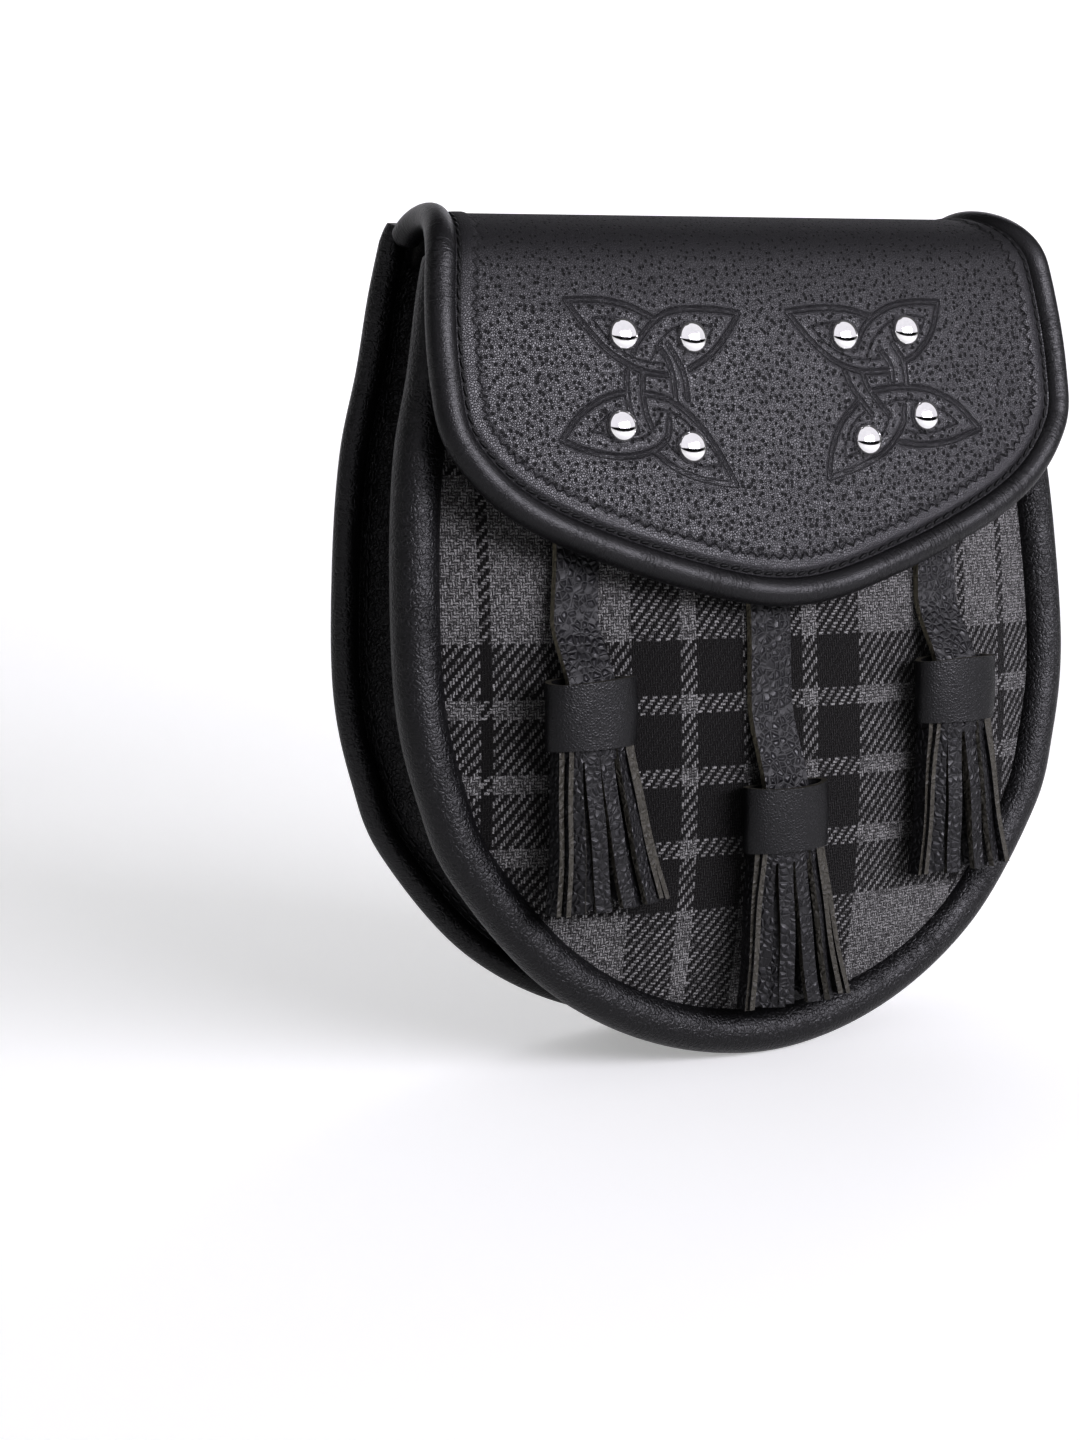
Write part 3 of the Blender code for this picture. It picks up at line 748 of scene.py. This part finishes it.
# The flap: one thick leather with a pitted grain, from inside the back over the ridge to its
# tip. Two four-leaf knots are pressed into it, and the pinked allowance of the piping, sewn
# beneath, shows through as a raised zigzag edge inside the stitching.
KNOT_DEPTH = 0.22 * MM
SEAM_DEPTH = 0.55 * MM
STUD_DENT = 0.35 * MM
ALLOWANCE_RISE = 0.40 * MM
KNOT_LINE = 0.34 * MM  # half width of one pressed line
KNOT_PAIR = 0.65 * MM  # each of a band's paired lines from its middle
FAR_STROKE = 2.5 * MM
SEAM_INSET = 8.0 * MM  # the flap's stitch line from its outer edge
ALLOWANCE = 12.0 * MM  # the piping's allowance, sewn under the flap's edge
TAIL_TAPER = 0.028
FLAP_SIDE = 0.34  # share of the flap's outline that is one side
LEFT_KNOT = (
    ((-58.4, 24.0), (-48.5, 24.0), (-40.0, 25.8), (-33.1, 29.0)),
    ((-58.4, 24.0), (-53.5, 30.3), (-47.4, 36.6), (-39.3, 41.1), (-31.7, 42.5)),
    ((-8.5, 27.5), (-16.8, 26.5), (-27.2, 26.6), (-33.4, 29.0), (-39.0, 34.1), (-40.7, 37.0)),
    ((-8.5, 27.5), (-12.2, 32.2), (-17.7, 37.3), (-24.8, 41.1)),
    ((-32.6, 36.1), (-30.9, 39.0), (-30.0, 43.0), (-29.9, 48.4)),
    ((-30.4, 34.9), (-28.5, 38.1), (-26.7, 42.3), (-26.3, 48.4)),
    ((-43.1, 41.3), (-43.8, 46.1), (-43.5, 50.4), (-42.0, 56.0)),
    ((-38.6, 42.3), (-39.2, 46.7), (-39.0, 51.0), (-37.8, 55.0)),
    ((-63.6, 57.4), (-57.8, 51.5), (-50.2, 47.6), (-43.5, 46.3)),
    ((-63.6, 57.4), (-56.2, 60.4), (-47.3, 61.9), (-38.5, 60.8), (-33.5, 57.6), (-32.4, 53.4)),
    ((-38.9, 46.7), (-31.1, 48.8), (-24.5, 54.1), (-19.7, 60.4), (-14.8, 70.0)),
    ((-14.8, 70.0), (-24.0, 68.4), (-31.9, 65.4), (-37.7, 61.0)),
)
LEFT_INNER = (
    ((-51.4, 28.4), (-47.7, 33.0), (-43.5, 36.5), (-38.5, 38.8), (-31.9, 39.8)),
    ((-51.4, 28.4), (-46.0, 28.2), (-41.0, 29.5), (-37.0, 32.0)),
    ((-16.5, 30.9), (-21.0, 30.2), (-28.0, 31.0), (-32.5, 34.2), (-36.0, 39.0)),
    ((-16.5, 30.9), (-18.3, 33.5), (-21.5, 36.5)),
    ((-54.5, 55.5), (-47.0, 57.6), (-40.0, 57.2), (-36.0, 54.0), (-34.5, 51.5)),
    ((-54.5, 55.5), (-50.5, 52.2), (-46.0, 50.6)),
    ((-37.0, 50.4), (-31.0, 51.8), (-26.0, 55.5), (-20.0, 62.0), (-18.5, 65.0)),
    ((-18.5, 65.0), (-25.0, 64.6), (-32.0, 61.0), (-34.5, 58.0)),
)
RIGHT_KNOT = (
    ((6.5, 27.3), (15.4, 26.4), (24.8, 26.7), (32.5, 28.6)),
    ((6.5, 27.3), (12.1, 33.7), (18.9, 39.4), (27.3, 42.6), (36.3, 42.7)),
    ((55.3, 25.1), (46.7, 25.0), (38.7, 26.3), (31.3, 30.3), (26.7, 36.5)),
    ((55.3, 25.1), (52.2, 32.6), (46.4, 38.3), (42.2, 40.3)),
    ((22.5, 42.5), (24.2, 46.6), (26.8, 50.2), (29.6, 53.6)),
    ((27.9, 42.6), (29.3, 46.7), (32.0, 50.3), (35.3, 54.0)),
    ((34.5, 37.0), (37.2, 40.9), (37.6, 45.3)),
    ((38.9, 35.8), (41.6, 40.2), (42.0, 46.2)),
    ((30.4, 47.7), (39.6, 46.9), (49.3, 47.9), (57.7, 51.7), (64.5, 58.3)),
    ((64.5, 58.3), (55.0, 61.1), (45.6, 62.0), (37.5, 61.0)),
    ((13.7, 69.4), (15.6, 62.6), (19.4, 55.9), (25.5, 50.4)),
    ((13.7, 69.4), (23.8, 66.9), (32.4, 63.2), (38.8, 57.2), (40.4, 52.0)),
)
RIGHT_INNER = (
    ((13.6, 31.0), (17.5, 35.2), (22.5, 38.2), (28.0, 39.5), (34.5, 39.5)),
    ((13.6, 31.0), (18.5, 30.3), (24.0, 30.8), (28.0, 33.0)),
    ((50.5, 29.0), (44.0, 28.6), (37.0, 31.0), (32.5, 35.0), (30.0, 39.0)),
    ((50.5, 29.0), (48.5, 32.5), (45.5, 35.0)),
    ((33.5, 51.5), (38.0, 50.2), (44.0, 50.4), (52.5, 53.2), (57.5, 56.6)),
    ((57.5, 56.6), (50.0, 58.4), (43.5, 58.8), (39.5, 57.8)),
    ((19.5, 64.6), (20.5, 60.2), (24.0, 55.5), (27.5, 53.0)),
    ((19.5, 64.6), (26.0, 62.4), (32.5, 58.5), (35.8, 53.0)),
)


def stroke_gap(x, down, strokes):
    """Distance from each place to the nearest stroke's middle, up to FAR_STROKE."""
    gap = np.full(len(x), FAR_STROKE)
    for stroke in strokes:
        line = smooth_line([(px * MM, py * MM) for px, py in stroke], 10)
        low, high = line.min(axis=0) - 3 * MM, line.max(axis=0) + 3 * MM
        near = np.flatnonzero((x > low[0]) & (x < high[0]) & (down > low[1]) & (down < high[1]))
        spots = np.column_stack([x[near], down[near]])
        for a, b in zip(line, line[1:]):
            share = np.clip((spots - a) @ (b - a) / ((b - a) @ (b - a)), 0, 1)
            away = np.linalg.norm(spots - a - share[:, None] * (b - a), axis=1)
            gap[near] = np.minimum(gap[near], away)
    return gap


stud_names = [f"stud_{hand}_{number}" for hand in ("left", "right") for number in range(1, 5)]
stud_seats = {name: np.mean(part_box(name), axis=0) for name in stud_names}
edge_line = along(flap_line(0, profile_run[0]), np.linspace(0, 1, 500))
edge_run = run_of(edge_line)
flap_places = inside(flap_line(FLAP_PIPING - 2.2 * MM, profile_run[0]), FLAP_SIDE)


def flap_spots(u, v):
    """Across and run of the flap's grid, which is closest over the knots."""
    u = np.interp(u, (0, 0.055, 0.945, 1), (0, 0.115, 0.885, 1))
    v = np.interp(v, (0, 0.16, 0.80, 1), (0, 0.26, 0.60, 1))
    return flap_places(u, v)


def edge_map(x, run):
    """Run along the flap's edge and distance in from it."""
    best, where = np.full(len(x), np.inf), np.zeros(len(x))
    for (edge_x, edge_down), length in zip(edge_line, edge_run):
        far = np.hypot(x - edge_x, run - edge_down)
        closer = far < best
        best[closer], where[closer] = far[closer], length
    return where, best


def tapered(x, run):
    """The flap's tail narrows a little behind the ridge."""
    return x * (1 - TAIL_TAPER * np.clip(run / profile_run[0], 0, 1))


marks = {}  # each corner's distances and run, for the flap's material


def flap_face(u, v):
    """The leather's outer face, with its knots, seam, studs and edge pressed in."""
    x, run = flap_spots(u, v)
    down = np.interp(run, profile_run, profile[:, 1])
    front = run > flap_run(RIDGE_DROP) * 0.6
    outer, inner = (np.where(front, stroke_gap(x, down, strokes), FAR_STROKE)
                    for strokes in (LEFT_KNOT + RIGHT_KNOT, LEFT_INNER + RIGHT_INNER))
    paired = np.exp(-((outer - KNOT_PAIR) / KNOT_LINE)**2)
    lines = np.maximum(paired, 0.8 * np.exp(-(inner / KNOT_LINE)**2))
    where, inset = edge_map(x, run)
    seam = np.exp(-((inset - SEAM_INSET) / (0.8 * MM))**2)
    dimple = np.zeros(len(x))
    for seat in stud_seats.values():
        far = np.hypot(x - seat[0], RIDGE_Z - down - seat[2])
        dimple = np.maximum(dimple, np.exp(-(far / (4.4 * MM))**4) * front)
    allowance = 1 - np.clip((inset - ALLOWANCE) / (1.0 * MM), 0, 1)
    relief = ALLOWANCE_RISE * allowance - KNOT_DEPTH * lines - SEAM_DEPTH * seam - STUD_DENT * dimple
    marks.update(outer_gap=outer / MM, inner_gap=inner / MM, where=where, inset=inset, run=run)
    return flap_place(tapered(x, run), run, FLAP_WALL / 2 + relief)


flap_mesh = grid(392, 236, flap_face)
map_corners(flap_mesh, "edge", lambda vert: (marks["where"][vert.index], marks["inset"][vert.index]))
map_corners(flap_mesh, "skin", lambda vert: (vert.co.x, marks["run"][vert.index]))
for gap_name in ("outer_gap", "inner_gap"):
    layer = flap_mesh.verts.layers.float.new(gap_name)
    for vert, gap in zip(flap_mesh.verts, marks[gap_name]):
        vert[layer] = gap
flap = put("flap_leather", face_out(flap_mesh), 80)


def flap_look():
    """Pigskin-like grain: pits in short rows over a fine pebble, and pressed lines, with painted shade
    darkening the pits, grooves, seam and allowance's edge and the leather near the ridge.
    """
    look = Look("flap_leather")
    spots = look.millimetres()
    skin = look.millimetres("skin")
    edge = look.millimetres("edge")
    outer, inner_line = look.attribute("outer_gap"), look.attribute("inner_gap")
    # The pressed lines' grooves darken the colour below: painted shade in the grooves.
    paired = outer.away(KNOT_PAIR / MM).ramp(0.02, 0.22, 1.0, 0.0)
    groove = paired.most(inner_line.ramp(0.04, 0.28, 0.9, 0.0))
    band = outer.ramp(0.9, 1.5, 1.0, 0.0)
    clouds = look.noise(spots, 30.0, 3)
    bent = look.warped(look.warped(skin, 5.0, 2.0), 0.45, 0.40)
    # top is 1 near the ridge and fades out by 46 mm down: it darkens the colour there as painted shade,
    # and makes the leather rougher and its pits smaller.
    top = look.axis(skin, "Y").ramp(6.0, 46.0, 1.0, 0.0)
    inset, where = look.axis(edge, "Y"), look.axis(edge, "X")
    teeth = (where / 3.9).wrap(1.0).away(0.5) * 3.0
    wander = look.noise(spots, 9.0) * 2.0 + look.noise(spots, 1.6) * 1.2
    ledge = inset - teeth - wander - 9.9
    inner = ledge.ramp(-0.35, 0.35)
    # rim, the allowance's edge where the leather dips, darkens the colour below: painted shade.
    rim = inner * (1 - ledge.ramp(0.35, 1.3))
    pit_size = look.noise(skin, 8.0).ramp(0.3, 0.7, 0.20, 0.29) - top * 0.08
    pits = (1 - (look.cells(bent, 2.15, "F1", 0.8, "2D") / pit_size).least(1.0)) * inner * (1 - band)
    small = 1 - look.cells(bent, 1.0, "F1", 1.0, "2D").ramp(0.05, 0.28)
    small = small * (inner * 0.75 + 0.25) * (1 - band * 0.8)
    grain = look.cells(bent, 0.6, "DISTANCE_TO_EDGE", 1.0, "2D").ramp(0.0, 0.25)
    height = (grain * 0.06 - pits * 0.42 - small * 0.05 + (1 - inner) * 0.18 - rim * 0.12
              - groove * 0.18 + outer.ramp(0.0, 0.35, 0.14, 0.0))
    look.relief(height)
    # seam darkens the colour along the stitch line: painted shade in the seam groove.
    seam = inset.away(SEAM_INSET / MM).ramp(0.25, 0.95, 0.8, 0.0)
    # dark is painted shade: it darkens the colour in the pits and fine pits, in the pressed grooves and
    # near the ridge, and, in the next line, along the allowance's edge and in the seam groove.
    dark = pits.ramp(0.05, 0.65, 0.0, 0.75) + top * 0.6 + small * 0.2 + groove * 0.28
    dark = (dark + rim * 0.3 + seam).least(1.0)
    # The fine grain's creases are darker: painted shade, mixed with the leather's own clouds.
    tone = look.blend(grain * 0.7 + clouds * 0.3, (0.0080, 0.0075, 0.0092), (0.0170, 0.0160, 0.0190))
    look.feed("Base Color", look.blend(dark, tone, (0.002, 0.002, 0.002)))
    look.feed("Roughness", (clouds - 0.5) * 0.10 + dark * 0.45 + (1 - grain) * 0.10 + top * 0.10 + 0.31)
    return look.material


dress(flap, flap_look(), "flap_leather", "flap")


def lining_place(u, v):
    x, run = flap_places(u, v)
    return flap_place(tapered(x, run), run, -FLAP_WALL / 2)


lining = put("flap_lining", grid(60, 60, lining_place))
thicken(lining, 1.4 * MM, 1)
dress(lining, leather("lining_leather", (0.030, 0.029, 0.027), 0.8, 0.9, 0.05), "flap_leather")
stitch_line = flap_line(SEAM_INSET, -0.6 * flap_run(BACK_TOP - 0.3 * MM))


def over_seam(proud, line=stitch_line):
    return np.column_stack(flap_place(line[:, 0], line[:, 1], proud))


def off_flap(shares):
    """Square to the flap's leather."""
    spots = along(stitch_line, shares)
    return over_seam(MM, spots) - over_seam(0, spots)


stitch_path = over_seam(FLAP_WALL / 2 - 0.05 * MM)
stitches("flap_stitching", stitch_path, off_flap, 3.3 * MM, 2.9 * MM, 1.0 * MM, "flap_leather")

# The studs: eight nickel domes with a thin turned-down rim, riveted through the leather at the
# leaves of the knots.


def metal_look():
    """Polished nickel, faintly hazed by handling."""
    look = Look("bright_metal", metallic=1.0)
    haze = look.noise(look.millimetres(), 2.5, 4)
    look.feed("Base Color", look.blend(haze, (0.78, 0.78, 0.79), (0.88, 0.87, 0.86)))
    look.feed("Roughness", haze * 0.06 + 0.05)
    return look.material


bright_metal = metal_look()
STUD_RADIUS = 4.2 * MM
STUD_HEIGHT = 2.8 * MM
STUD_WALL = 0.5 * MM
crown = [(STUD_RADIUS * 0.97 * math.sin(t), STUD_WALL + (STUD_HEIGHT - STUD_WALL) * math.cos(t))
         for t in np.linspace(0, math.pi / 2, 25)]
rim = [(STUD_RADIUS * 0.98, 0.3 * MM), (STUD_RADIUS, 0.15 * MM), (STUD_RADIUS, -0.1 * MM), (0, -0.1 * MM)]
stud_turn = Euler((math.pi / 2 - FLAP_LEAN, 0, 0)).to_matrix().to_4x4()
for name, seat in stud_seats.items():
    mesh = bmesh.new()
    verts = [mesh.verts.new((radius, 0, height)) for radius, height in crown + rim]
    edges = [mesh.edges.new(pair) for pair in zip(verts, verts[1:])]
    bmesh.ops.spin(mesh, geom=verts + edges, cent=(0, 0, 0), axis=(0, 0, 1),
                   angle=2 * math.pi, steps=72, use_merge=True)
    weld(mesh)
    run = flap_run(RIDGE_Z - seat[2])
    foot = np.ravel(flap_place(seat[:1], np.array([run]), FLAP_WALL / 2 - 0.15 * MM))
    mesh.transform(Matrix.Translation(foot) @ stud_turn)
    dress(put(name.replace("stud", "dome"), mesh, 35), bright_metal, "bright_metal", name)

# The tassels: each hangs on a strap of pebbled leather that starts under the flap, and has a head
# of leather wrapped round a bundle of strips. All cut edges are raw and paler.
STRIP_WALL = 1.5 * MM
STRAP_WIDE = 12.5 * MM
STRAP_WALL = 2 * MM
PLUG_GAP = 1.9 * MM  # from a head's outside to the plug that fills it


def cut_leather(name, colour, roughness, grain, depth):
    """Pebbled leather whose cut faces, marked raw, show a pale brown-grey core."""
    look = Look(name)
    spots = look.millimetres()
    raw = look.attribute("raw")
    bent = look.warped(spots, grain * 3, grain * 0.6)
    pebble = look.cells(bent, grain, "DISTANCE_TO_EDGE").ramp(0.0, 0.40)
    fibre = look.noise(look.millimetres("Object", (1, 1, 0.25)), 0.5, 3)
    look.relief(pebble * depth + fibre * 0.06)
    # The skin is darker in the creases between pebbles: painted shade.
    skin = look.blend(pebble, [part * 0.35 for part in colour], colour)
    core = look.blend(fibre, (0.07, 0.064, 0.048), (0.29, 0.268, 0.205))
    look.feed("Base Color", look.blend(raw, skin, core))
    look.feed("Roughness", raw * 0.4 + (1 - pebble) * 0.15 + roughness)
    return look.material


tassel_leather = cut_leather("tassel_leather", (0.020, 0.0192, 0.0222), 0.38, 1.8, 0.34)
head_leather = cut_leather("head_leather", (0.0055, 0.0052, 0.0068), 0.31, 0.8, 0.05)


def strip(mesh, wide, wall, rows, paleness, path):
    """A flat strip added to a mesh: path(share) gives its middle, its across and its facing."""
    own = bmesh.new()
    raw = own.faces.layers.float.new("raw")
    bmesh.ops.create_cube(own, size=1)
    tall = [edge for edge in own.edges if abs(edge.verts[0].co.z - edge.verts[1].co.z) > 0.5]
    bmesh.ops.subdivide_edges(own, edges=tall, cuts=rows, use_grid_fill=True)
    for face in own.faces:
        face.normal_update()
        face[raw] = 0.0 if abs(face.normal.y) > 0.5 else paleness
    for vert in own.verts:
        middle, across, facing = path(0.5 - vert.co.z)
        aside, proud = Vector(across) * vert.co.x * wide, Vector(facing) * vert.co.y * wall
        vert.co = Vector(middle) + aside + proud
    data = bpy.data.meshes.new("strip")
    face_out(own).to_mesh(data)
    own.free()
    mesh.from_mesh(data)
    bpy.data.meshes.remove(data)


for hand, seed in (("left", 3), ("middle", 5), ("right", 8)):
    chance = np.random.default_rng(seed)
    parts = ("strap", "head", "fringe")
    strap_box, head_box, fringe_box = (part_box(f"tassel_{part}_{hand}") for part in parts)
    head_low, head_high = np.array(head_box[0]), np.array(head_box[1])
    x, y = (head_low[:2] + head_high[:2]) / 2
    wide, deep = (head_high[:2] - head_low[:2]) / 2
    bottom, top = head_low[2], head_high[2]

    strap_top = strap_box[1][2]
    strap_x = strap_box[0][0] + STRAP_WIDE / 2
    if x <= strap_x:
        strap_x = strap_box[1][0] - STRAP_WIDE / 2

    def strap_path(share):
        down = RIDGE_Z - strap_top + (strap_top - top + 4 * MM) * share
        middle_x = strap_x + (x - strap_x) * min(share * 1.05, 1)
        sides = middle_x + np.array([-1, 0, 1]) * STRAP_WIDE / 2
        lie = float(front_face(sides, np.full(3, down)).min()) - 1.2 * MM
        swing = max(0.0, 1 - (1 - share) * 2.6)
        hang = lie + (y - lie) * min(1, swing**2 * (3 - 2 * swing))
        middle = (middle_x + 0.5 * MM * math.sin(7 * share), hang, RIDGE_Z - down)
        return middle, (1, 0.06 * math.sin(5 * share), 0), (0, 1, 0)

    mesh = bmesh.new()
    mesh.faces.layers.float.new("raw")
    strip(mesh, STRAP_WIDE, STRAP_WALL, 22, 1.0, strap_path)
    strap = put(f"strap_{hand}", face_out(mesh), 40)
    dress(strap, tassel_leather, "tassel_leather", f"tassel_strap_{hand}")

    def head_place(u, v):
        turn = 2 * math.pi * u
        swell = 1 + 0.02 * np.sin(math.pi * v) + 0.015 * np.sin(3 * turn + 4 * v)
        lip = 0.3 * MM * np.sin(2 * turn + seed)
        height = bottom + (top - bottom) * v + lip * v
        return x + wide * swell * np.sin(turn), y + deep * swell * np.cos(turn), height

    wrap = weld(grid(56, 12, head_place))
    bmesh.ops.solidify(wrap, geom=wrap.faces[:], thickness=STRIP_WALL)
    raw_layer = wrap.faces.layers.float.new("raw")
    for face in wrap.faces:
        face[raw_layer] = 0.35 if abs(face.normal.z) > 0.6 else 0.0
    dress(put(f"head_{hand}", face_out(wrap), 50), head_leather, "tassel_leather", f"tassel_head_{hand}")

    tip_x = (fringe_box[0][0] + fringe_box[1][0]) / 2
    tip_z = fringe_box[0][2]
    mesh = bmesh.new()
    mesh.faces.layers.float.new("raw")
    bmesh.ops.create_cone(mesh, cap_ends=True, segments=32, radius1=1, radius2=1, depth=1)
    for vert in mesh.verts:
        end = top - 1.2 * MM if vert.co.z > 0 else bottom - 3 * MM
        vert.co = (x + vert.co.x * (wide - PLUG_GAP), y + vert.co.y * (deep - PLUG_GAP), end)
    turns = np.linspace(0, 2 * math.pi, 361)
    circle = np.column_stack([np.sin(turns), -np.cos(turns)])
    for strip_wide, count, shrink in ((4.15 * MM, 10, 0.0), (6.0 * MM, 6, 1.7 * MM)):
        for number in range(count):
            share = (number + 0.5 + chance.uniform(-0.05, 0.05)) / count
            oval = circle * (wide - 2.6 * MM - shrink, deep - 2.6 * MM - shrink)
            ring = along(oval, np.array([share]))[0]
            turn = math.atan2(ring[0] / wide, -ring[1] / deep)
            facing = ring / (wide**2, deep**2)
            facing /= np.linalg.norm(facing)
            spread = chance.uniform(0.85, 1.1) * 5.5 * MM * math.sin(turn)
            lift = chance.uniform(-0.3, 0.9) * MM
            twist = chance.uniform(-0.22, 0.22)
            bow = chance.uniform(-0.5, 0.5) * MM
            reach = bottom - tip_z - chance.uniform(0, 1.6) * MM

            def fringe_path(share):
                fall = share**1.2
                middle_x = x + ring[0] + (tip_x - x + spread) * fall + bow * math.sin(math.pi * share)
                middle_y = y + ring[1] + facing[1] * lift * fall + 0.3 * MM * math.sin(9 * share + turn)
                angle = twist * share
                across = (-facing[1] * math.cos(angle) - facing[0] * math.sin(angle),
                          facing[0] * math.cos(angle) - facing[1] * math.sin(angle), 0)
                out = (across[1], -across[0], 0)
                return (middle_x, middle_y, bottom + 2 * MM - (reach + 2 * MM) * share), across, out

            # The fringe's cut edges get a quarter of the strap's paleness: painted shade for strips that
            # sit in each other's shadow.
            strip(mesh, strip_wide, STRIP_WALL, 12, 0.25, fringe_path)
    fringe = put(f"fringe_{hand}", face_out(mesh), 40)
    dress(fringe, tassel_leather, "tassel_leather", f"tassel_fringe_{hand}")

# The belt loops: two bands of the back's leather, sewn down at both ends, that stand off the back
# between their seams.
LOOP_WALL = 2.2 * MM
for hand in ("left", "right"):
    low, high = (np.array(corner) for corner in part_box(f"belt_loop_{hand}"))
    half = (high[2] - low[2]) / 2
    foot = low[1] + LOOP_WALL / 2
    out = high[1] - LOOP_WALL / 2
    steps = ((foot, half), (foot, half - 7.5 * MM), (out, half - 14.5 * MM), (out, 0))
    turns = smooth_line([(y, z) for y, z in steps] + [(y, -z) for y, z in steps[-2::-1]], 8)
    centre = (low + high) / 2

    def loop_place(u, v):
        spots = along(turns, v)
        return centre[0] + (u - 0.5) * (high[0] - low[0]), spots[:, 0], centre[2] + spots[:, 1]

    loop_piece = put(f"loop_{hand}", face_out(grid(4, 60, loop_place)))
    thicken(loop_piece, LOOP_WALL, 0)
    loop_edge = loop_piece.modifiers.new("edge", "BEVEL")
    loop_edge.width = 0.4 * MM
    loop_edge.segments = 2
    dress(loop_piece, panel_leather, "panel_leather", f"belt_loop_{hand}")
    for number, z in enumerate((half - 3 * MM, -half + 3 * MM)):
        row = [(centre[0] + side * 6 * MM, low[1] + LOOP_WALL, centre[2] + z) for side in (-1, 1)]
        stitches(f"loop_{hand}_seam_{number}", np.array(row), lambda shares: [(0, 1, 0)] * len(shares),
                 3 * MM, 2.4 * MM, 0.8 * MM, "panel_leather")

# The press stud under the flap, hidden while the flap is closed: the solid's own shape, in the
# same nickel as the domes.
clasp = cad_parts["clasp"]
for slot in clasp.material_slots:
    slot.material = bright_metal
